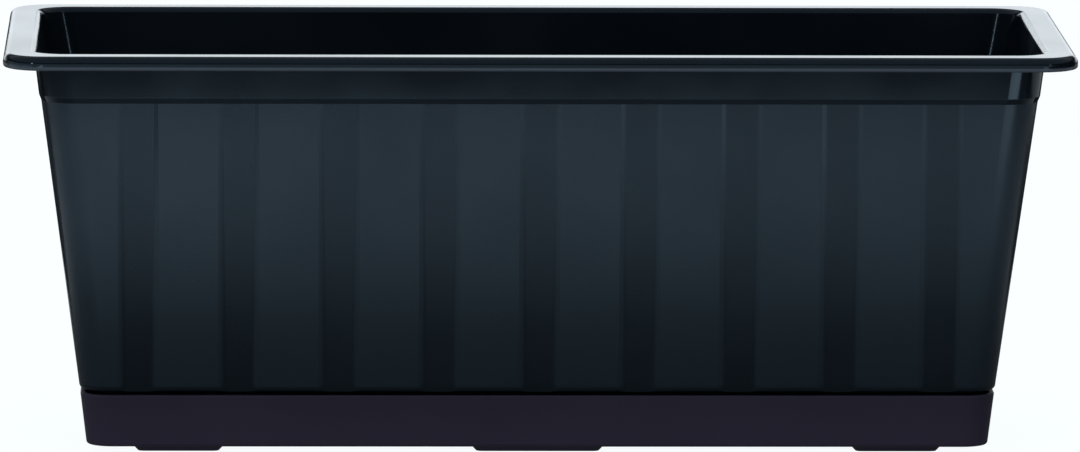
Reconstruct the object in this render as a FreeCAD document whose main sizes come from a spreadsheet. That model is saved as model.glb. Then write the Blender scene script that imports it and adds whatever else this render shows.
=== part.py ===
import FreeCAD, Part
import math
import os

import Sketcher

# A window box: a rectangular planter box that stands in its drip tray.
# Millimetres. X runs along the box, Y towards its back and Z up. The origin is the
# centre of the footprint, on the surface that the tray's feet stand on.

SIZES = [
    # the rim and the collar under it
    ("rim_length", 400, "outer length of the rim"),
    ("rim_width", 176, "outer width of the rim"),
    ("rim_corner", 15, "corner radius of the rim, seen from above"),
    ("box_height", 142.5, "height of the planter box alone"),
    ("flange_width", 12, "from the rim's edge to the inner wall at the top"),
    ("flange_thickness", 2, "thickness of the flat flange"),
    ("lip_height", 5.2, "height of the turned down lip"),
    ("lip_thickness", 1.6, "thickness of the turned down lip"),
    ("rim_round", 3, "rounding of the rim's upper outer edge"),
    ("lip_round", 1.3, "rounding of the lip's lower outer edge"),
    ("opening_round", 2.3, "rounding of the opening's edge"),
    ("opening_lean", 0.2, "how far the opening's edge lies inside the collar's upper edge"),
    ("collar_taper", 1.4, "how far the collar draws in towards its lower edge"),
    ("collar_height", 16.8, "from the rim's top to the collar's lower edge"),
    ("collar_corner", 13, "corner radius of the collar"),
    ("collar_round", 0.5, "rounding of the collar's lower edge"),
    ("ledge_height", 2.1, "height of the sloping ledge under the collar"),
    ("ledge_width", 0.8, "width of that ledge"),
    # the tapered walls, the shoulder and the foot that nests in the tray
    ("wall_thickness", 1.8, "thickness of the walls"),
    ("panel_taper", 14.2, "how far the panels draw in towards the shoulder"),
    ("base_corner", 11, "corner radius of the walls at the shoulder"),
    ("shoulder_round", 2.2, "rounding of the shoulder"),
    ("shoulder_inner_round", 1, "rounding inside the shoulder"),
    ("foot_depth", 13, "height of the foot under the shoulder"),
    ("foot_step", 6.6, "width of the step from the panels to the foot"),
    ("foot_taper", 1.5, "how far the foot draws in towards its sole"),
    ("foot_corner", 6, "corner radius of the foot"),
    ("foot_round", 1.5, "rounding of the foot's lower edge"),
    ("floor_thickness", 2, "thickness of the box's floor"),
    # the upright flutes, with ribs behind them inside
    ("flute_width", 15.2, "width of a flute, on the panels' face"),
    ("flute_side_share", 3.2, "how far a flute's side leans, for each unit of depth"),
    ("flute_top_depth", 0.5, "depth of a flute at its upper end"),
    ("flute_foot_depth", 1, "depth of a flute at its lower end"),
    ("flute_round", 0.8, "rounding of a flute's upright edges"),
    ("front_margin", 22, "from the shoulder's end to the nearest flute's centre, long sides"),
    ("front_flutes", 9, "number of flutes on a long side"),
    ("end_margin", 22.3, "from the shoulder's end to the nearest flute's centre, short ends"),
    ("end_flutes", 3, "number of flutes on a short end"),
    # the drain holes in the box's floor
    ("drain_diameter", 8, "diameter of a drain hole"),
    ("drain_end_margin", 42.1, "from the floor's short edge to the nearest hole's centre"),
    ("drain_side_margin", 23.1, "from the floor's long edge to the holes' centres"),
    ("drain_columns", 5, "number of drain holes in a row"),
    # the drip tray
    ("tray_wall", 1.8, "thickness of the tray's wall"),
    ("tray_floor", 1.8, "thickness of the tray's floor"),
    ("tray_gap", 1.1, "clearance between the tray's edge and the shoulder"),
    ("tray_taper", 2.5, "how far the tray draws in towards its lower edge"),
    ("tray_corner", 10, "corner radius of the tray at its lower edge"),
    ("tray_round", 1.2, "rounding of the tray's lower edge"),
    ("tray_edge_round", 0.5, "rounding of the tray's upper edge"),
    ("tray_inner_round", 1, "rounding where the tray's wall meets its floor"),
    ("standoff_height", 6.2, "height of the ribs that hold the box above the water"),
    ("standoff_thickness", 2, "thickness of such a rib"),
    ("standoff_end_gap", 10.7, "from such a rib's end to the tray's wall"),
    ("standoff_margin", 17.7, "from the tray's end wall to the nearest rib's centre"),
    ("standoff_ribs", 6, "number of these ribs"),
    # the feet under the tray
    ("foot_height", 2.5, "height of the feet"),
    ("foot_flare", 2.4, "how far a foot widens from its sole to the tray's floor"),
    ("foot_setback", 6.6, "from the tray's lower edge to a foot's sole"),
    ("foot_width", 20, "width of a foot's sole, across the tray"),
    ("side_foot_length", 30.4, "length of the sole of a foot near an end"),
    ("middle_foot_length", 46.2, "length of the sole of a foot in the middle"),
    ("foot_end_margin", 19.3, "from the tray's lower end to the nearest foot's sole"),
    ("foot_sole_corner", 2.5, "corner radius of a foot's sole"),
    ("foot_recess_inset", 1, "from the sole's edge to the hollow inside the foot"),
    # how far a cutter reaches past what it cuts
    ("cut_overrun", 3, "overrun of the cutters"),
]

NEAR_ENOUGH = 0.001
UPRIGHT = FreeCAD.Vector(0, 0, 1)

doc = FreeCAD.newDocument("window_box")
sheet = doc.addObject("Spreadsheet::Sheet", "Sizes")
for row, (alias, size, meaning) in enumerate(SIZES, start=1):
    sheet.set(f"A{row}", alias)
    sheet.set(f"B{row}", str(size))
    sheet.set(f"C{row}", meaning)
    sheet.setAlias(f"B{row}", alias)
doc.recompute()

# Levels, as formulas of the named sizes.
TRAY_BASE = "Sizes.foot_height"
TRAY_FLOOR_TOP = f"({TRAY_BASE} + Sizes.tray_floor)"
BOX_BASE = f"({TRAY_FLOOR_TOP} + Sizes.standoff_height)"
BOX_FLOOR_TOP = f"({BOX_BASE} + Sizes.floor_thickness)"
SHOULDER = f"({BOX_BASE} + Sizes.foot_depth)"
TRAY_TOP = f"({SHOULDER} - Sizes.tray_gap)"
LEDGE_INSIDE = f"({SHOULDER} + Sizes.wall_thickness)"
RIM_TOP = f"({BOX_BASE} + Sizes.box_height)"
LIP_FOOT = f"({RIM_TOP} - Sizes.lip_height)"
COLLAR_FOOT = f"({RIM_TOP} - Sizes.collar_height)"
PANEL_TOP = f"({COLLAR_FOOT} - Sizes.ledge_height)"

# How far outlines at those levels are set in from the rim's edge.
COLLAR_TOP_INSET = "(Sizes.flange_width - Sizes.opening_lean)"
COLLAR_FOOT_INSET = f"({COLLAR_TOP_INSET} + Sizes.collar_taper)"
PANEL_TOP_INSET = f"({COLLAR_FOOT_INSET} + Sizes.ledge_width)"
PANEL_FOOT_INSET = f"({PANEL_TOP_INSET} + Sizes.panel_taper)"
TRAY_FOOT_INSET = f"({PANEL_FOOT_INSET} + Sizes.tray_taper)"

# Each side of the box: the turn of a section that is drawn to reach outward along +Y,
# the axis that its flutes follow each other along, and the sign of its outward place.
SIDES = {
    "front": {"turn": 180, "along": "X_Axis", "sign": "-"},
    "back": {"turn": 0, "along": "X_Axis", "sign": ""},
    "left": {"turn": 90, "along": "Y_Axis", "sign": "-"},
    "right": {"turn": -90, "along": "Y_Axis", "sign": ""},
}


def amount(formula):
    """The number that a formula of named sizes comes to."""
    return float(sheet.evalExpression(formula))


def sloped(level, top_value, foot_value, top_level, foot_level):
    """A value at a level, on the straight line between its values at two levels."""
    fall_share = f"({top_level} - {level}) / ({top_level} - {foot_level})"
    return f"({top_value} + ({foot_value} - {top_value}) * {fall_share})"


def panel_inset(level):
    return sloped(level, PANEL_TOP_INSET, PANEL_FOOT_INSET, PANEL_TOP, SHOULDER)


def flute_depth(level):
    return sloped(level, "Sizes.flute_top_depth", "Sizes.flute_foot_depth", PANEL_TOP, SHOULDER)


def foot_inset(level):
    top_inset = f"({PANEL_FOOT_INSET} + Sizes.foot_step)"
    sole_inset = f"({top_inset} + Sizes.foot_taper)"
    return sloped(level, top_inset, sole_inset, SHOULDER, BOX_BASE)


def tray_inset(level):
    return sloped(level, PANEL_FOOT_INSET, TRAY_FOOT_INSET, SHOULDER, TRAY_BASE)


def reach(rim_size, inset, margin):
    """From the middle to a place that lies a margin inside an outline, along X or Y."""
    return f"({rim_size} / 2 - {inset} - {margin})"


# From the middle of a side to its outermost flute, and the number of flutes there.
FLUTE_REACH = {
    "X_Axis": reach("Sizes.rim_length", PANEL_FOOT_INSET, "Sizes.front_margin"),
    "Y_Axis": reach("Sizes.rim_width", PANEL_FOOT_INSET, "Sizes.end_margin"),
}
FLUTES = {"X_Axis": "Sizes.front_flutes", "Y_Axis": "Sizes.end_flutes"}

# From the tray's middle to the middle of a foot, across the tray and along it.
FOOT_MARGIN = "(Sizes.foot_setback + Sizes.foot_width / 2)"
SIDE_FOOT_MARGIN = "(Sizes.foot_end_margin + Sizes.side_foot_length / 2)"
FOOT_REACH = reach("Sizes.rim_width", TRAY_FOOT_INSET, FOOT_MARGIN)
SIDE_FOOT_REACH = reach("Sizes.rim_length", TRAY_FOOT_INSET, SIDE_FOOT_MARGIN)


def origin_feature(body, role):
    return next(feature for feature in body.Origin.OriginFeatures if feature.Role == role)


def new_sketch(body, name, level, x="0", y="0", turn=0):
    """An empty sketch that lies flat at a level, moved and turned about the upright axis."""
    sketch = body.newObject("Sketcher::SketchObject", name)
    sketch.AttachmentSupport = [(origin_feature(body, "XY_Plane"), "")]
    sketch.MapMode = "FlatFace"
    sketch.AttachmentOffset = FreeCAD.Placement(FreeCAD.Vector(), FreeCAD.Rotation(UPRIGHT, turn))
    sketch.setExpression("AttachmentOffset.Base.x", x)
    sketch.setExpression("AttachmentOffset.Base.y", y)
    sketch.setExpression("AttachmentOffset.Base.z", level)
    return sketch


def bind(sketch, name, constraint, formula):
    """Adds a named dimension and ties it to a formula."""
    index = sketch.addConstraint(constraint)
    sketch.renameConstraint(index, name)
    sketch.setExpression(f"Constraints.{name}", formula)


def draw_round_rectangle(sketch, length, width, corner):
    """A rectangle with round corners about the sketch's origin: four lines, then four arcs."""
    half_length = amount(length) / 2
    half_width = amount(width) / 2
    radius = amount(corner)
    flat_x = half_length - radius
    flat_y = half_width - radius
    first = sketch.GeometryCount
    runs = [
        ((-flat_x, -half_width), (flat_x, -half_width)),
        ((half_length, -flat_y), (half_length, flat_y)),
        ((flat_x, half_width), (-flat_x, half_width)),
        ((-half_length, flat_y), (-half_length, -flat_y)),
    ]
    for start, end in runs:
        sketch.addGeometry(Part.LineSegment(FreeCAD.Vector(*start), FreeCAD.Vector(*end)), False)
    centres = [(flat_x, -flat_y), (flat_x, flat_y), (-flat_x, flat_y), (-flat_x, -flat_y)]
    for step, centre in enumerate(centres):
        circle = Part.Circle(FreeCAD.Vector(*centre), UPRIGHT, radius)
        start_angle = (step - 1) * math.pi / 2
        end_angle = step * math.pi / 2
        sketch.addGeometry(Part.ArcOfCircle(circle, start_angle, end_angle), False)
    lines = [first + step for step in range(4)]
    arcs = [first + 4 + step for step in range(4)]
    for step in range(4):
        after = lines[(step + 1) % 4]
        sketch.addConstraint(Sketcher.Constraint("Tangent", lines[step], 2, arcs[step], 1))
        sketch.addConstraint(Sketcher.Constraint("Tangent", arcs[step], 2, after, 1))
    for step in (0, 2):
        sketch.addConstraint(Sketcher.Constraint("Horizontal", lines[step]))
        sketch.addConstraint(Sketcher.Constraint("Vertical", lines[step + 1]))
    for arc in arcs[1:]:
        sketch.addConstraint(Sketcher.Constraint("Equal", arcs[0], arc))
    sketch.addConstraint(Sketcher.Constraint("Symmetric", arcs[0], 3, arcs[2], 3, -1, 1))
    across = Sketcher.Constraint("DistanceX", lines[3], 1, lines[1], 1, 2 * half_length)
    deep = Sketcher.Constraint("DistanceY", lines[0], 1, lines[2], 1, 2 * half_width)
    bind(sketch, f"length_{first}", across, length)
    bind(sketch, f"width_{first}", deep, width)
    bind(sketch, f"corner_{first}", Sketcher.Constraint("Radius", arcs[0], radius), corner)


def draw_wedge(sketch, near_width, far_width, reach):
    """A four sided section with its near edge on the sketch's X axis, its far edge beyond."""
    near_half = amount(near_width) / 2
    far_half = amount(far_width) / 2
    depth = amount(reach)
    corners = [(-near_half, 0), (near_half, 0), (far_half, depth), (-far_half, depth)]
    for step, start in enumerate(corners):
        end = corners[(step + 1) % 4]
        sketch.addGeometry(Part.LineSegment(FreeCAD.Vector(*start), FreeCAD.Vector(*end)), False)
    for step in range(4):
        sketch.addConstraint(Sketcher.Constraint("Coincident", step, 2, (step + 1) % 4, 1))
    sketch.addConstraint(Sketcher.Constraint("Symmetric", 0, 1, 0, 2, -1, 1))
    sketch.addConstraint(Sketcher.Constraint("Symmetric", 2, 1, 2, 2, -2))
    sketch.addConstraint(Sketcher.Constraint("Horizontal", 0))
    near = Sketcher.Constraint("DistanceX", 0, 1, 0, 2, 2 * near_half)
    far = Sketcher.Constraint("DistanceX", 2, 2, 2, 1, 2 * far_half)
    deep = Sketcher.Constraint("DistanceY", 0, 1, 2, 2, depth)
    bind(sketch, "near_width", near, near_width)
    bind(sketch, "far_width", far, far_width)
    bind(sketch, "reach", deep, reach)


def outline(body, name, level, inset, corner):
    """The box's or the tray's outline at a level, set in from the rim's edge."""
    sketch = new_sketch(body, name, level)
    length = f"Sizes.rim_length - 2 * {inset}"
    width = f"Sizes.rim_width - 2 * {inset}"
    draw_round_rectangle(sketch, length, width, corner)
    return sketch


def pad(body, name, sketch, height):
    """A solid raised from a sketch."""
    feature = body.newObject("PartDesign::Pad", name)
    feature.Profile = sketch
    feature.setExpression("Length", height)
    body.Tip = feature
    return feature


def cut_pocket(body, name, sketch, depth, upwards):
    """Cuts a sketch into the solid, up or down, and makes sure that it cut something."""
    doc.recompute()
    before = body.Tip.Shape.Volume
    pocket = body.newObject("PartDesign::Pocket", name)
    pocket.Profile = sketch
    pocket.setExpression("Length", depth)
    pocket.Reversed = upwards
    body.Tip = pocket
    doc.recompute()
    if not pocket.Shape.Volume < before:
        raise RuntimeError(f"{name} cuts nothing")
    return pocket


def loft(body, kind, name, low, *higher):
    """A solid, or a cut, with straight sides through outlines at rising levels."""
    feature = body.newObject(f"PartDesign::{kind}Loft", name)
    feature.Profile = low
    feature.Sections = list(higher)
    feature.Ruled = True
    body.Tip = feature
    return feature


def row_of(body, name, feature, along, row_reach, copies):
    """Repeats the first feature of a row that reaches as far to both sides of the middle."""
    pattern = body.newObject("PartDesign::LinearPattern", name)
    pattern.Originals = [feature]
    pattern.Direction = (origin_feature(body, along), [""])
    pattern.setExpression("Length", f"2 * {row_reach}")
    pattern.setExpression("Occurrences", copies)
    body.Tip = pattern
    return pattern


def two_rows_of(body, name, feature, row_reach, copies, side_reach):
    """Repeats a feature in a row along the front and in another along the back."""
    pattern = row_of(body, name, feature, "X_Axis", row_reach, copies)
    pattern.Direction2 = (origin_feature(body, "Y_Axis"), [""])
    pattern.setExpression("Length2", f"2 * {side_reach}")
    pattern.Occurrences2 = 2
    return pattern


def edges_on(shape, level, inset):
    """Names of the edges of the outline that lies at a level, set in from the rim's edge."""
    height = amount(level)
    half_length = amount(f"Sizes.rim_length / 2 - {inset}")
    half_width = amount(f"Sizes.rim_width / 2 - {inset}")
    names = []
    for number, edge in enumerate(shape.Edges, start=1):
        ends = [vertex.Point for vertex in edge.Vertexes]
        flat = all(abs(point.z - height) < NEAR_ENOUGH for point in ends)
        reach_x = max(abs(point.x) for point in ends)
        reach_y = max(abs(point.y) for point in ends)
        on_end = abs(reach_x - half_length) < NEAR_ENOUGH and reach_y < half_width + NEAR_ENOUGH
        on_side = abs(reach_y - half_width) < NEAR_ENOUGH and reach_x < half_length + NEAR_ENOUGH
        if flat and (on_end or on_side):
            names.append(f"Edge{number}")
    return names


def upright_flute_edges(shape):
    """Names of the edges where the flutes' sides meet the panels."""
    top = amount(PANEL_TOP)
    low_enough = amount(f"{SHOULDER} + Sizes.shoulder_round")
    half_length = amount(f"Sizes.rim_length / 2 - {PANEL_TOP_INSET}")
    half_width = amount(f"Sizes.rim_width / 2 - {PANEL_TOP_INSET}")
    corner = amount("Sizes.collar_corner") + NEAR_ENOUGH
    names = []
    for number, edge in enumerate(shape.Edges, start=1):
        points = sorted((vertex.Point for vertex in edge.Vertexes), key=lambda point: point.z)
        low, high = points[0], points[-1]
        if low.z > low_enough or abs(high.z - top) > NEAR_ENOUGH:
            continue
        on_side = abs(abs(high.y) - half_width) < NEAR_ENOUGH and abs(high.x) < half_length - corner
        on_end = abs(abs(high.x) - half_length) < NEAR_ENOUGH and abs(high.y) < half_width - corner
        if on_side or on_end:
            names.append(f"Edge{number}")
    return names


def fillet_of(body, name, radius, edge_names):
    """Rounds edges of the solid so far."""
    base = body.Tip
    fillet = body.newObject("PartDesign::Fillet", name)
    fillet.Base = (base, edge_names)
    fillet.setExpression("Radius", radius)
    body.Tip = fillet


def round_edges(body, name, radius, level, inset):
    """Rounds the edges of one outline of the solid so far."""
    doc.recompute()
    fillet_of(body, name, radius, edges_on(body.Tip.Shape, level, inset))


def flute_shape(level):
    """Inset, near and far width and reach of a flute's cutter at a level."""
    depth = flute_depth(level)
    inset = f"({panel_inset(level)} + {depth})"
    near_width = f"(Sizes.flute_width - 2 * Sizes.flute_side_share * {depth})"
    far_width = "(Sizes.flute_width + 2 * Sizes.flute_side_share * Sizes.cut_overrun)"
    reach = f"({depth} + Sizes.cut_overrun)"
    return inset, near_width, far_width, reach


def rib_shape(level):
    """Inset, near and far width and reach of the rib inside the wall, behind a flute."""
    flute_inset, flute_near, _, _ = flute_shape(level)
    inset = f"({flute_inset} + Sizes.wall_thickness)"
    near_width = f"({flute_near} + 2 * Sizes.wall_thickness)"
    reach = f"({flute_depth(level)} + Sizes.wall_thickness / 2)"
    far_width = f"({near_width} + 2 * Sizes.flute_side_share * {reach})"
    return inset, near_width, far_width, reach


def side_section(body, name, side, level, shape):
    """A section on one side of the box, at the place of the first flute there."""
    inset, near_width, far_width, reach = shape
    facing = SIDES[side]
    if facing["along"] == "X_Axis":
        x = f"-{FLUTE_REACH['X_Axis']}"
        y = f"{facing['sign']}(Sizes.rim_width / 2 - {inset})"
    else:
        x = f"{facing['sign']}(Sizes.rim_length / 2 - {inset})"
        y = f"-{FLUTE_REACH['Y_Axis']}"
    sketch = new_sketch(body, name, level, x, y, facing["turn"])
    draw_wedge(sketch, near_width, far_width, reach)
    return sketch


def fluted_sides(body, kind, word, foot_level, shape_at):
    """A row of flutes, or of the ribs behind them, on each of the four sides."""
    for side, facing in SIDES.items():
        low = side_section(body, f"{side}_{word}_foot", side, foot_level, shape_at(foot_level))
        high = side_section(body, f"{side}_{word}_top", side, PANEL_TOP, shape_at(PANEL_TOP))
        first = loft(body, kind, f"{side}_{word}", low, high)
        along = facing["along"]
        row_of(body, f"{side}_{word}_row", first, along, FLUTE_REACH[along], FLUTES[along])


def make_box_block(body):
    """The planter's outer form: rim, collar, ledge, tapered walls and foot, all solid."""
    rim_outline = new_sketch(body, "rim_outline", LIP_FOOT)
    draw_round_rectangle(rim_outline, "Sizes.rim_length", "Sizes.rim_width", "Sizes.rim_corner")
    pad(body, "rim", rim_outline, "Sizes.lip_height")

    base_corner = "Sizes.base_corner"
    corner = "Sizes.collar_corner"
    shoulder = outline(body, "shoulder_outline", SHOULDER, PANEL_FOOT_INSET, base_corner)
    panel_top = outline(body, "panel_outline", PANEL_TOP, PANEL_TOP_INSET, corner)
    collar_foot = outline(body, "ledge_outline", COLLAR_FOOT, COLLAR_FOOT_INSET, corner)
    collar_top = outline(body, "collar_outline", LIP_FOOT, COLLAR_TOP_INSET, corner)
    loft(body, "Additive", "walls", shoulder, panel_top, collar_foot, collar_top)

    sole = outline(body, "sole_outline", BOX_BASE, foot_inset(BOX_BASE), "Sizes.foot_corner")
    foot_top = outline(body, "foot_outline", SHOULDER, foot_inset(SHOULDER), "Sizes.foot_corner")
    loft(body, "Additive", "foot", sole, foot_top)


def hollow_box(body):
    """The space for the soil, down to the floor inside the foot, and the groove in the rim."""
    wall = "Sizes.wall_thickness"
    base_corner = f"(Sizes.base_corner - {wall})"
    collar_corner = f"(Sizes.collar_corner - {wall})"
    foot_corner = f"(Sizes.foot_corner - {wall})"

    ledge_inset = f"({panel_inset(LEDGE_INSIDE)} + {wall})"
    panel_inner_inset = f"({PANEL_TOP_INSET} + {wall})"
    ledge = outline(body, "inner_ledge_outline", LEDGE_INSIDE, ledge_inset, base_corner)
    panel_top = outline(body, "inner_panel_outline", PANEL_TOP, panel_inner_inset, collar_corner)
    opening = outline(body, "opening_outline", RIM_TOP, "Sizes.flange_width", collar_corner)
    loft(body, "Subtractive", "soil_space", ledge, panel_top, opening)
    inner_round = "Sizes.shoulder_inner_round"
    round_edges(body, "inner_ledge_round", inner_round, LEDGE_INSIDE, ledge_inset)

    floor_inset = f"({foot_inset(BOX_FLOOR_TOP)} + {wall})"
    mouth_inset = f"({foot_inset(LEDGE_INSIDE)} + {wall})"
    floor = outline(body, "floor_outline", BOX_FLOOR_TOP, floor_inset, foot_corner)
    mouth = outline(body, "foot_mouth_outline", LEDGE_INSIDE, mouth_inset, foot_corner)
    loft(body, "Subtractive", "foot_space", floor, mouth)

    lip = "Sizes.lip_thickness"
    groove = outline(body, "groove_outline", LIP_FOOT, lip, f"(Sizes.rim_corner - {lip})")
    collar_length = f"Sizes.rim_length - 2 * {COLLAR_TOP_INSET}"
    collar_width = f"Sizes.rim_width - 2 * {COLLAR_TOP_INSET}"
    draw_round_rectangle(groove, collar_length, collar_width, "Sizes.collar_corner")
    cut_pocket(body, "rim_groove", groove, "Sizes.lip_height - Sizes.flange_thickness", True)


def round_box_edges(body):
    """The roundings of the rim, the collar, the shoulder and the sole."""
    round_edges(body, "rim_upper_round", "Sizes.rim_round", RIM_TOP, "0")
    round_edges(body, "lip_lower_round", "Sizes.lip_round", LIP_FOOT, "0")
    round_edges(body, "opening_edge_round", "Sizes.opening_round", RIM_TOP, "Sizes.flange_width")
    round_edges(body, "collar_edge_round", "Sizes.collar_round", COLLAR_FOOT, COLLAR_FOOT_INSET)
    round_edges(body, "shoulder_edge_round", "Sizes.shoulder_round", SHOULDER, PANEL_FOOT_INSET)
    round_edges(body, "sole_edge_round", "Sizes.foot_round", BOX_BASE, foot_inset(BOX_BASE))


def drill_drain_holes(body):
    """Two rows of drain holes through the box's floor."""
    floor_inset = f"({foot_inset(BOX_FLOOR_TOP)} + Sizes.wall_thickness)"
    row_reach = reach("Sizes.rim_length", floor_inset, "Sizes.drain_end_margin")
    side_reach = reach("Sizes.rim_width", floor_inset, "Sizes.drain_side_margin")
    drain = new_sketch(body, "drain_outline", BOX_FLOOR_TOP, f"-{row_reach}", f"-{side_reach}")
    radius = amount("Sizes.drain_diameter / 2")
    drain.addGeometry(Part.Circle(FreeCAD.Vector(), UPRIGHT, radius), False)
    drain.addConstraint(Sketcher.Constraint("Coincident", 0, 3, -1, 1))
    bind(drain, "diameter", Sketcher.Constraint("Diameter", 0, 2 * radius), "Sizes.drain_diameter")
    hole = cut_pocket(body, "drain_hole", drain, "Sizes.floor_thickness", False)
    two_rows_of(body, "drain_holes", hole, row_reach, "Sizes.drain_columns", side_reach)


def make_planter_box():
    body = doc.addObject("PartDesign::Body", "planter_box")
    body.Label = "planter_box"
    make_box_block(body)
    hollow_box(body)
    round_box_edges(body)
    drill_drain_holes(body)
    fluted_sides(body, "Additive", "rib", LEDGE_INSIDE, rib_shape)
    fluted_sides(body, "Subtractive", "flute", SHOULDER, flute_shape)
    doc.recompute()
    fillet_of(body, "flute_edge_rounds", "Sizes.flute_round", upright_flute_edges(body.Tip.Shape))
    return body


def foot_outline(body, name, level, place, growth):
    """The outline of the first foot of its kind, grown or shrunk on every side."""
    x = f"-{SIDE_FOOT_REACH}" if place == "side" else "0"
    sketch = new_sketch(body, name, level, x, f"-{FOOT_REACH}")
    length = f"Sizes.{place}_foot_length + 2 * {growth}"
    width = f"Sizes.foot_width + 2 * {growth}"
    draw_round_rectangle(sketch, length, width, f"Sizes.foot_sole_corner + {growth}")
    return sketch


def tray_feet(body, kind, word, low, high):
    """The tray's feet, three along the front and three along the back, or their hollows."""
    for place in ("side", "middle"):
        name = f"{place}_{word}"
        lower = foot_outline(body, f"{name}_low", low[0], place, low[1])
        upper = foot_outline(body, f"{name}_high", high[0], place, high[1])
        foot = loft(body, kind, name, lower, upper)
        if place == "side":
            two_rows_of(body, f"{name}_corners", foot, SIDE_FOOT_REACH, "2", FOOT_REACH)
        else:
            row_of(body, f"{name}_pair", foot, "Y_Axis", FOOT_REACH, "2")


def make_drip_tray():
    body = doc.addObject("PartDesign::Body", "drip_tray")
    body.Label = "drip_tray"
    wall = "Sizes.tray_wall"
    edge_inset = tray_inset(TRAY_TOP)
    base = outline(body, "tray_base_outline", TRAY_BASE, TRAY_FOOT_INSET, "Sizes.tray_corner")
    edge = outline(body, "tray_edge_outline", TRAY_TOP, edge_inset, "Sizes.base_corner")
    loft(body, "Additive", "tray_block", base, edge)

    floor_inset = f"({tray_inset(TRAY_FLOOR_TOP)} + {wall})"
    mouth_inset = f"({edge_inset} + {wall})"
    floor_corner = f"(Sizes.tray_corner - {wall})"
    mouth_corner = f"(Sizes.base_corner - {wall})"
    floor = outline(body, "tray_floor_outline", TRAY_FLOOR_TOP, floor_inset, floor_corner)
    mouth = outline(body, "tray_mouth_outline", TRAY_TOP, mouth_inset, mouth_corner)
    loft(body, "Subtractive", "water_space", floor, mouth)

    round_edges(body, "tray_floor_round", "Sizes.tray_inner_round", TRAY_FLOOR_TOP, floor_inset)
    round_edges(body, "tray_base_round", "Sizes.tray_round", TRAY_BASE, TRAY_FOOT_INSET)
    round_edges(body, "tray_edge_round", "Sizes.tray_edge_round", TRAY_TOP, edge_inset)

    tray_feet(body, "Additive", "foot", ("0", "0"), (TRAY_BASE, "Sizes.foot_flare"))
    hollow_low = ("Sizes.tray_floor", "(-Sizes.foot_recess_inset)")
    hollow_high = (TRAY_FLOOR_TOP, "(Sizes.foot_flare - Sizes.foot_recess_inset)")
    tray_feet(body, "Subtractive", "hollow", hollow_low, hollow_high)

    rib_reach = reach("Sizes.rim_length", floor_inset, "Sizes.standoff_margin")
    half_rib = reach("Sizes.rim_width", floor_inset, "Sizes.standoff_end_gap")
    section = new_sketch(body, "standoff_outline", TRAY_FLOOR_TOP, f"-{rib_reach}", f"-{half_rib}")
    thickness = "Sizes.standoff_thickness"
    draw_wedge(section, thickness, thickness, f"2 * {half_rib}")
    standoff = pad(body, "standoff", section, "Sizes.standoff_height")
    row_of(body, "standoffs", standoff, "X_Axis", rib_reach, "Sizes.standoff_ribs")
    return body


def check_document():
    """Stops if a feature of the document failed."""
    for item in doc.Objects:
        if "Invalid" in item.State or "Error" in item.State:
            raise RuntimeError(f"{item.Name} failed: {item.State}")


pieces = [make_drip_tray(), make_planter_box()]
doc.recompute()
check_document()
for piece in pieces:
    if piece.Shape.isNull() or not piece.Shape.isValid():
        raise RuntimeError(f"{piece.Label} has no sound shape")
os.makedirs("parts", exist_ok=True)
for piece in pieces:
    print(piece.Label, len(piece.Shape.Solids), "solid")
    piece.Shape.exportStep(f"parts/{piece.Label}.step")
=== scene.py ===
import math

import bpy
from mathutils import Matrix, Vector

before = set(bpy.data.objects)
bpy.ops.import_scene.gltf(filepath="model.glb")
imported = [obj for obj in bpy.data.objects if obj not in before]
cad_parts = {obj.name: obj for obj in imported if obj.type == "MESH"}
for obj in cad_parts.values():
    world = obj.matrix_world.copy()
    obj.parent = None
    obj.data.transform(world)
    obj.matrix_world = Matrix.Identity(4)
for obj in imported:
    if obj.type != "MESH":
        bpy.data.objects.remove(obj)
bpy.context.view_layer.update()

scene = bpy.context.scene
scene.view_settings.view_transform = "Standard"
scene.view_settings.look = "None"

# Lengths are in metres. A range is the two values where a change starts and ends. The change
# goes from 0 to 1, or between the two results that follow in the same range.

# Heights on the part.
PANEL_TOP = 0.1341
PANEL_FOOT = 0.0268
SHOULDER_FADE = 0.002
TRAY_TOP = 0.0224
LIP_EDGE = 0.1486

# Distances from the part's middle: places at the ends and at the long sides that only the lip
# is past, and one at the ends that the long walls' flutes don't reach.
LIP_END = 0.190
LIP_SIDE = 0.078
END_FACE = 0.1665

# The flutes: half their width, half their soft edge, and the pitch and reach of each row.
FLUTE_HALF = 0.0062
FLUTE_SOFT = 0.0012
FRONT_PITCH = 0.037525
FRONT_REACH = 0.1580
END_PITCH = 0.0375
END_REACH = 0.0450

# Both plastics: the depth of the fine grain.
GRAIN_DISTANCE = 0.0002

# The box's plastic. Each noise is a scale and a detail. The painted sheen's shares, which make
# the panels between the flutes lighter than the body colour, are the one at the panels' top and
# the one at their foot, and the mix stops at 1.
BOX_CLOUD = (22.0, 3.0)
BOX_GRAIN = (1400.0, 2.0)
BOX_WAVE = (13.0, 1.0)
BODY_COLOUR = (0.006, 0.010, 0.015, 1.0)
PAINTED_SHEEN_COLOUR = (0.020, 0.031, 0.042, 1.0)
CLOUD_COLOUR = (0.012, 0.020, 0.030, 1.0)
# A painted highlight along the lip's lower edge.
LIP_HIGHLIGHT_COLOUR = (0.085, 0.105, 0.135, 1.0)
MIRROR_COLOUR = (0.55, 0.78, 1.0, 1.0)
PAINTED_SHEEN_SHARES = (0.8, 1.5)
CLOUD_SHARE = (0.35, 0.7, 0.0, 0.25)
# The painted highlight's range: none at the first distance from the lip's lower edge, full at the
# second.
LIP_HIGHLIGHT_SHARE = (0.0010, 0.0004)
BOX_ROUGHNESS = (0.12, 0.24)
CLOUD_ROUGHNESS = (0.3, 0.7, -0.03, 0.03)
BOX_GRAIN_STRENGTH = (0.02, 0.16)
WAVE_STRENGTH = 0.15
WAVE_DISTANCE = 0.0008
BOX_IOR = 1.5
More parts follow.
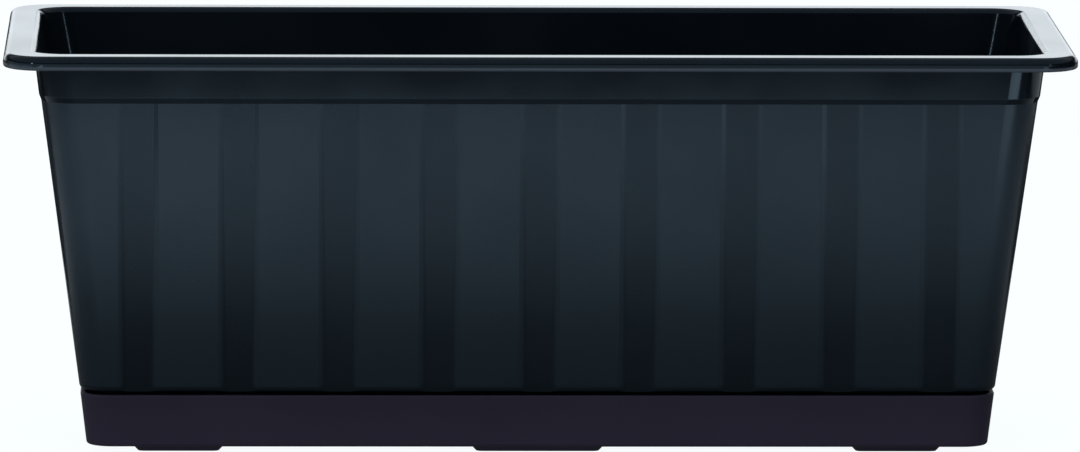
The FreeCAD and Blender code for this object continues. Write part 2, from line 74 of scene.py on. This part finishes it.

# The tray's plastic. Its shade is the share of the pale colour, by clouds and by painted light
# that makes it paler towards the foot.
TRAY_CLOUD = (18.0, 3.0)
TRAY_GRAIN = (1100.0, 2.0)
TRAY_DARK_COLOUR = (0.038, 0.031, 0.068, 1.0)
TRAY_PALE_COLOUR = (0.068, 0.057, 0.110, 1.0)
TRAY_CLOUD_SHADE = (0.3, 0.7, 0.0, 0.2)
TRAY_FOOT_PAINTED_LIGHT = 0.8
TRAY_ROUGHNESS = (0.3, 0.7, 0.46, 0.54)
TRAY_GRAIN_STRENGTH = 0.2
TRAY_IOR = 1.46

# The floor, the cards just under it, and the spots of light just over the cards.
FLOOR_REACH = 14.0
FLOOR_HEIGHT = -0.0002
FLOOR_ALBEDO = 0.2
FLOOR_GLOW = 0.97
CARD_HEIGHT = -0.0004
SPOT_HEIGHT = -0.0003
CARD_ALBEDO = 0.1
CARD_CLOUD = (1.5, 2.0)
CARD_SHARES = (0.97, 1.0)
CARD_ROUGHNESS = 0.8
GLOW_COLOUR = (0.95, 0.99, 1.0, 1.0)

# The paper that the part stands on: name and two corners. Its glow is the painted pool of light,
# with painted shade at the part's foot.
PAPERS = [
    ("paper", (-0.66, -0.47), (0.5, 0.09)),
    ("back_paper", (-0.3, 0.09), (0.3, 0.45)),
]

# The cards and the spots: name, two corners and glow.
CARDS = [
    ("right_paper", (0.57, -0.12), (1.0, 0.5), 0.5),
    ("outer_paper", (-0.8, -0.9), (0.8, -0.47), 0.1),
    ("far_paper", (-0.8, -6.0), (0.8, -0.9), 0.45),
    ("left_card", (-1.7, -1.6), (-0.8, 0.35), 0.9),
    ("left_back_card", (-1.7, 0.35), (-0.6, 1.4), 0.35),
    ("right_back_card", (0.5, 0.7), (1.6, 1.6), 0.3),
]
SPOTS = [
    ("corner_card", (0.25, -0.45), (0.41, -0.33), 2.0),
    ("left_spot", (-0.62, -3.2), (-0.3, -1.5), 8.0),
    ("right_spot", (0.56, -1.42), (0.76, -1.16), 2.5),
]

# The painted pool of light, with painted shade at the part's foot: half the length and half the
# width of the part's foot, the glow's rise with the distance from the foot, its changes from left
# to right, and its fall at the outer edge.
FOOT_END = 0.18
FOOT_SIDE = 0.065
POOL_RISE = (0.112, 0.325, 0.08, 1.34)
POOL_CHANGES = [(-0.35, 0.35, 1.16, 0.86), (-0.6, -0.25, 0.5, 1.0), (0.3, 0.45, 1.0, 0.5)]
POOL_EDGE = (0.372, 0.342, 0.08, 1.0)

# The studio around the part, by the x, y and z of a direction: a bright wall behind, a lower
# glow in front that leans to the left, and a ceiling.
HORIZON = (-0.03, 0.01)
WALL_BEHIND = (0.6, 0.9)
WALL_TOP = (0.3, 0.15)
WALL_GLOW = 1.5
FRONT_LEAN = 0.8
FRONT_TOWARD = (0.0, -0.5)
FRONT_TOP = (0.24, 0.16)
FRONT_GLOW = 0.5
CEILING = (0.35, 0.55, 0.02, 0.3)
STUDIO_COLOUR = (0.88, 0.95, 1.0, 1.0)
WHITE = (1.0, 1.0, 1.0, 1.0)

# The lamps: the right one's place, the target and size of both, and each one's side and power.
LAMP_PLACE = (2.0, -2.9, 1.25)
LAMP_TARGET = (0.0, 0.0, 0.1)
LAMP_SIZE = (0.2, 0.5)
LAMPS = [(-1.0, 4.0), (1.0, 1.5)]

# The camera: place, angles in radians, focal length and frame in pixels, sensor in millimetres.
CAMERA_PLACE = (-0.1190, -4.2022, 0.64217)
YAW, PITCH, ROLL = 0.028774, 0.13329, 0.005
FOCAL_PIXELS = 11186.0
FRAME_PIXELS = 1080.0
SENSOR_WIDTH = 36.0
CLIP_END = 60.0


class Graph:
    """Makes and joins the shader nodes of one material or world."""

    def __init__(self, owner):
        owner.use_nodes = True
        self.tree = owner.node_tree
        self.tree.nodes.clear()

    def add(self, kind, inputs=None, **settings):
        node = self.tree.nodes.new(kind)
        for name, value in settings.items():
            setattr(node, name, value)
        for name, value in (inputs or {}).items():
            self.put(node.inputs[name], value)
        return node

    def put(self, socket, value):
        if isinstance(value, bpy.types.NodeSocket):
            self.tree.links.new(value, socket)
        else:
            socket.default_value = value

    def coords(self):
        return self.add("ShaderNodeTexCoord").outputs

    def split(self, vector):
        """The x, y and z of a vector."""
        return self.add("ShaderNodeSeparateXYZ", {0: vector}).outputs

    def math(self, operation, first, second=0.0, third=0.0):
        node = self.add("ShaderNodeMath", {0: first, 1: second, 2: third}, operation=operation)
        return node.outputs[0]

    def total(self, first, *others):
        for other in others:
            first = self.math("ADD", first, other)
        return first

    def product(self, first, *others):
        for other in others:
            first = self.math("MULTIPLY", first, other)
        return first

    def is_past(self, value, limit):
        """1 where a value is past a limit on either side of 0, and 0 elsewhere."""
        return self.math("GREATER_THAN", self.math("ABSOLUTE", value), limit)

    def beyond(self, value, limit):
        """How far a value is past a limit on either side of 0, or 0 where it isn't."""
        over = self.math("SUBTRACT", self.math("ABSOLUTE", value), limit)
        return self.math("MAXIMUM", over, 0.0)

    def mix(self, share, low, high):
        """A number from low to high, at a share from 0 to 1."""
        node = self.add("ShaderNodeMix", {0: share, 2: low, 3: high}, data_type="FLOAT")
        return node.outputs[0]

    def mix_colour(self, share, low, high):
        node = self.add("ShaderNodeMix", {0: share, 6: low, 7: high}, data_type="RGBA")
        return node.outputs[2]

    def spread(self, value, low, high, to_low=0.0, to_high=1.0, kind="SMOOTHSTEP"):
        """Maps a range onto another, with soft ends unless another kind is named."""
        inputs = {0: value, 1: low, 2: high, 3: to_low, 4: to_high}
        return self.add("ShaderNodeMapRange", inputs, interpolation_type=kind).outputs[0]

    def noise(self, place, scale, detail):
        inputs = {"Vector": place, "Scale": scale, "Detail": detail}
        return self.add("ShaderNodeTexNoise", inputs).outputs[0]

    def bump(self, height, strength, distance, **more):
        inputs = {"Strength": strength, "Distance": distance, "Height": height, **more}
        return self.add("ShaderNodeBump", inputs).outputs[0]

    def surface(self, inputs):
        """Ends a material's graph with its shader."""
        shader = self.add("ShaderNodeBsdfPrincipled", inputs)
        self.add("ShaderNodeOutputMaterial", {0: shader.outputs[0]})


def striped(graph, place, pitch, reach):
    """1 in the flutes of a row about the middle, 0 elsewhere, with soft edges."""
    share = graph.math("DIVIDE", place, pitch)
    from_nearest = graph.math("SUBTRACT", share, graph.math("ROUND", share))
    offset = graph.math("ABSOLUTE", graph.product(from_nearest, pitch))
    in_flute = graph.spread(offset, FLUTE_HALF + FLUTE_SOFT, FLUTE_HALF - FLUTE_SOFT)
    in_row = graph.math("LESS_THAN", graph.math("ABSOLUTE", place), reach)
    return graph.product(in_flute, in_row)


def box_plastic():
    """Satin on the outer panels and their flutes, and polished on all the rest. Painted sheen
    makes the panels between the flutes lighter, more so towards the foot, and a painted highlight
    runs along the lip's lower edge.
    """
    material = bpy.data.materials.new("box_plastic")
    graph = Graph(material)
    coords = graph.coords()
    place = coords["Object"]
    x, y, z = graph.split(place)
    normal = graph.split(coords["Normal"])

    away = graph.total(graph.product(x, normal[0]), graph.product(y, normal[1]))
    outward = graph.math("GREATER_THAN", away, 0.0)
    below_ledge = graph.math("LESS_THAN", z, PANEL_TOP)
    above_shoulder = graph.spread(z, PANEL_FOOT - SHOULDER_FADE, PANEL_FOOT)
    on_panel = graph.product(outward, below_ledge, above_shoulder)

    long_side = striped(graph, x, FRONT_PITCH, FRONT_REACH)
    short_side = striped(graph, y, END_PITCH, END_REACH)
    at_end = graph.is_past(x, END_FACE)
    in_flute = graph.math("MAXIMUM", long_side, graph.product(at_end, short_side))
    panel_between_flutes = graph.product(on_panel, graph.math("SUBTRACT", 1.0, in_flute))

    # A painted highlight on the outer faces, along the lip's lower edge.
    on_lip = graph.math("MAXIMUM", graph.is_past(x, LIP_END), graph.is_past(y, LIP_SIDE))
    from_edge = graph.math("ABSOLUTE", graph.math("SUBTRACT", z, LIP_EDGE))
    painted_lip_highlight = graph.product(outward, on_lip, graph.spread(from_edge, *LIP_HIGHLIGHT_SHARE))

    cloud = graph.noise(place, *BOX_CLOUD)
    # Painted sheen: the panels between the flutes are lighter, more so towards the foot.
    painted_sheen_share = graph.product(panel_between_flutes, graph.spread(z, PANEL_TOP, PANEL_FOOT, *PAINTED_SHEEN_SHARES))
    tint = graph.mix_colour(painted_sheen_share, BODY_COLOUR, PAINTED_SHEEN_COLOUR)
    tint = graph.mix_colour(graph.spread(cloud, *CLOUD_SHARE), tint, CLOUD_COLOUR)
    tint = graph.mix_colour(painted_lip_highlight, tint, LIP_HIGHLIGHT_COLOUR)
    rough = graph.mix(on_panel, *BOX_ROUGHNESS)
    rough = graph.total(rough, graph.spread(cloud, *CLOUD_ROUGHNESS))

    strength = graph.mix(on_panel, *BOX_GRAIN_STRENGTH)
    grain = graph.bump(graph.noise(place, *BOX_GRAIN), strength, GRAIN_DISTANCE)
    wave = graph.noise(place, *BOX_WAVE)
    graph.surface({
        "Base Color": tint, "Roughness": rough, "IOR": BOX_IOR, "Specular Tint": MIRROR_COLOUR,
        "Normal": graph.bump(wave, WAVE_STRENGTH, WAVE_DISTANCE, Normal=grain)})
    return material


def tray_plastic():
    """Matt, and paler towards the foot by painted light."""
    material = bpy.data.materials.new("tray_plastic")
    graph = Graph(material)
    place = graph.coords()["Object"]
    height = graph.split(place)[2]
    cloud = graph.noise(place, *TRAY_CLOUD)
    clouded = graph.spread(cloud, *TRAY_CLOUD_SHADE)
    # Painted light: paler towards the foot.
    shade = graph.total(clouded, graph.spread(height, TRAY_TOP, 0.0, 0.0, TRAY_FOOT_PAINTED_LIGHT))
    grain = graph.noise(place, *TRAY_GRAIN)
    graph.surface({
        "Base Color": graph.mix_colour(shade, TRAY_DARK_COLOUR, TRAY_PALE_COLOUR),
        "Roughness": graph.spread(cloud, *TRAY_ROUGHNESS), "IOR": TRAY_IOR,
        "Normal": graph.bump(grain, TRAY_GRAIN_STRENGTH, GRAIN_DISTANCE)})
    return material


def card(name, albedo, glow):
    """A matt card. Its glow is a number, or a function that makes it from the place."""
    material = bpy.data.materials.new(name)
    graph = Graph(material)
    place = graph.coords()["Object"]
    cloud = graph.noise(place, *CARD_CLOUD)
    low, high = [(albedo * share, albedo * share, albedo * share, 1.0) for share in CARD_SHARES]
    if callable(glow):
        glow = glow(graph, place)
    graph.surface({
        "Base Color": graph.mix_colour(cloud, low, high), "Roughness": CARD_ROUGHNESS,
        "Specular IOR Level": 0.0, "Emission Color": GLOW_COLOUR, "Emission Strength": glow})
    return material


def pool(graph, place):
    """The painted light on the paper: painted deep shade at the part's foot, full light a forearm
    away.
    """
    x, y = graph.split(place)[:2]
    beside = graph.beyond(x, FOOT_END)
    before = graph.beyond(y, FOOT_SIDE)
    square = graph.total(graph.product(beside, beside), graph.product(before, before))
    away = graph.math("SQRT", square)
    lit = graph.spread(away, *POOL_RISE, kind="LINEAR")
    for change in POOL_CHANGES:
        lit = graph.product(lit, graph.spread(x, *change))
    # the mean of the straight way and the way along x and y, which cuts the pool's corners
    reach = graph.product(graph.total(beside, before, away), 0.5)
    return graph.product(lit, graph.spread(reach, *POOL_EDGE))


def clothe(node, material):
    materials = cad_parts[node].data.materials
    materials.clear()
    materials.append(material)


def sheet(name, low, high, height, material):
    """A flat rectangle between two corners."""
    mesh = bpy.data.meshes.new(name)
    (left, front), (right, back) = low, high
    corners = [(left, front, 0), (right, front, 0), (right, back, 0), (left, back, 0)]
    mesh.from_pydata(corners, [], [(0, 1, 2, 3)])
    made = bpy.data.objects.new(name, mesh)
    scene.collection.objects.link(made)
    made.location.z = height
    mesh.materials.append(material)
    return made


def unseen(name, low, high, height, material):
    """A sheet that only shows as a reflection and as light."""
    sheet(name, low, high, height, material).visible_camera = False


def make_floor():
    """The pale floor that the camera sees, and the cards that shine back onto the part."""
    low, high = (-FLOOR_REACH, -FLOOR_REACH), (FLOOR_REACH, FLOOR_REACH)
    floor = sheet("floor", low, high, FLOOR_HEIGHT, card("floor_paint", FLOOR_ALBEDO, FLOOR_GLOW))
    floor.visible_diffuse = False
    floor.visible_glossy = False
    floor.visible_shadow = False
    paper = card("paper", CARD_ALBEDO, pool)
    for name, low, high in PAPERS:
        unseen(name, low, high, CARD_HEIGHT, paper)
    for height, rows in ((CARD_HEIGHT, CARDS), (SPOT_HEIGHT, SPOTS)):
        for name, low, high, glow in rows:
            unseen(name, low, high, height, card(name, CARD_ALBEDO, glow))


def make_camera():
    """The photograph's camera, fitted to the box's corners and edges."""
    forward = Vector((
        math.sin(YAW) * math.cos(PITCH), math.cos(YAW) * math.cos(PITCH), -math.sin(PITCH)))
    level = Vector((math.cos(YAW), -math.sin(YAW), 0.0))
    above = level.cross(forward)
    right = level * math.cos(ROLL) + above * math.sin(ROLL)
    upward = above * math.cos(ROLL) - level * math.sin(ROLL)
    data = bpy.data.cameras.new("camera")
    data.sensor_width = SENSOR_WIDTH
    data.lens = FOCAL_PIXELS / FRAME_PIXELS * SENSOR_WIDTH
    data.clip_end = CLIP_END
    camera = bpy.data.objects.new("camera", data)
    scene.collection.objects.link(camera)
    turn = Matrix((right, upward, -forward)).transposed()
    camera.matrix_world = Matrix.Translation(CAMERA_PLACE) @ turn.to_4x4()
    scene.camera = camera


def make_lamp(side, power):
    """A soft light in front of the part, on its left at side -1 and on its right at side 1."""
    data = bpy.data.lights.new("lamp", "AREA")
    data.shape = "RECTANGLE"
    data.size, data.size_y = LAMP_SIZE
    data.energy = power
    light = bpy.data.objects.new("lamp", data)
    scene.collection.objects.link(light)
    place = Vector((LAMP_PLACE[0] * side, LAMP_PLACE[1], LAMP_PLACE[2]))
    aim = (Vector(LAMP_TARGET) - place).to_track_quat("-Z", "Y")
    light.matrix_world = Matrix.Translation(place) @ aim.to_matrix().to_4x4()
    light.visible_camera = False


def make_world():
    """Plain white for the camera, and the studio's soft glows for light and reflections."""
    world = bpy.data.worlds.new("studio")
    scene.world = world
    graph = Graph(world)
    x, y, z = graph.split(graph.coords()["Generated"])
    above = graph.spread(z, *HORIZON)
    wall = graph.product(graph.spread(y, *WALL_BEHIND), graph.spread(z, *WALL_TOP), above)
    toward = graph.math("MULTIPLY_ADD", x, FRONT_LEAN, y)
    front = graph.product(graph.spread(z, *FRONT_TOP), above, graph.spread(toward, *FRONT_TOWARD))
    ceiling = graph.spread(z, *CEILING)
    strength = graph.total(
        graph.product(wall, WALL_GLOW), ceiling, graph.product(front, FRONT_GLOW))
    lit = graph.add("ShaderNodeBackground", {0: STUDIO_COLOUR, 1: strength}).outputs[0]
    plain = graph.add("ShaderNodeBackground", {0: WHITE, 1: 1.0}).outputs[0]
    seen = graph.add("ShaderNodeLightPath").outputs["Is Camera Ray"]
    both = graph.add("ShaderNodeMixShader", {0: seen, 1: lit, 2: plain}).outputs[0]
    graph.add("ShaderNodeOutputWorld", {0: both})


clothe("planter_box", box_plastic())
clothe("drip_tray", tray_plastic())
make_floor()
make_camera()
make_world()
for side, power in LAMPS:
    make_lamp(side, power)
